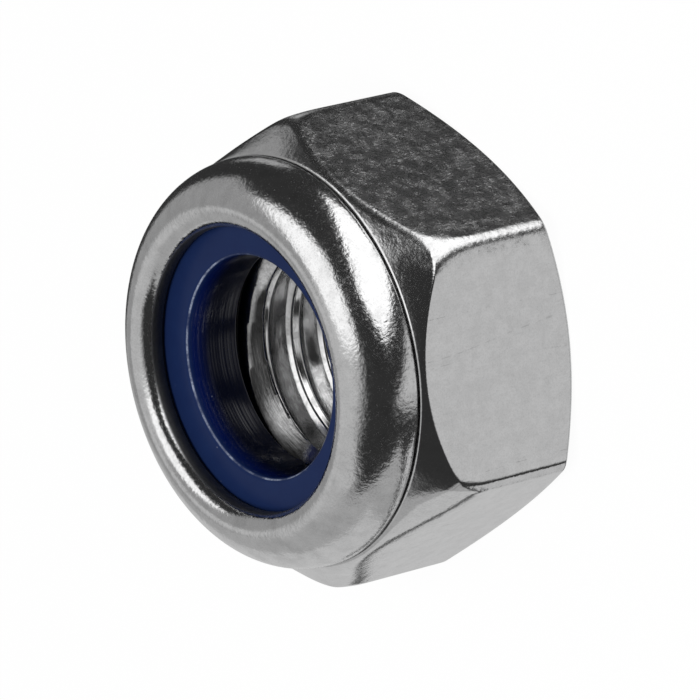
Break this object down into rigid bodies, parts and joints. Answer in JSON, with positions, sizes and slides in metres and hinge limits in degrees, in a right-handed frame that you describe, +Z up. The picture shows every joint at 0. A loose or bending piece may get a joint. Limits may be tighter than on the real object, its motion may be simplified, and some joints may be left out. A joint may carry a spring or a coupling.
{
  "type": "nylon insert lock nut",
  "caption": "Thin hexagonal lock nut: a threaded steel hexagon whose rolled-in collar holds a nylon ring that grips the bolt's thread, so that the nut doesn't shake loose",
  "frame": {"origin": "centre of the bearing face, on the thread's axis, where the nut stands", "axes": "+Z runs up the thread's axis towards the nylon ring; +X points at the middle of a flat, and +Y at an edge between two flats"},
  "size_m": [0.013, 0.0148, 0.008],
  "materials": {
    "steel": "bright tumbled stainless steel with fine scratches",
    "nylon": "dark blue moulded nylon with a slight gloss"
  },
  "bodies": {
    "root": {"nut_body": "steel", "nylon_insert": "nylon"}
  },
  "joints": []
}
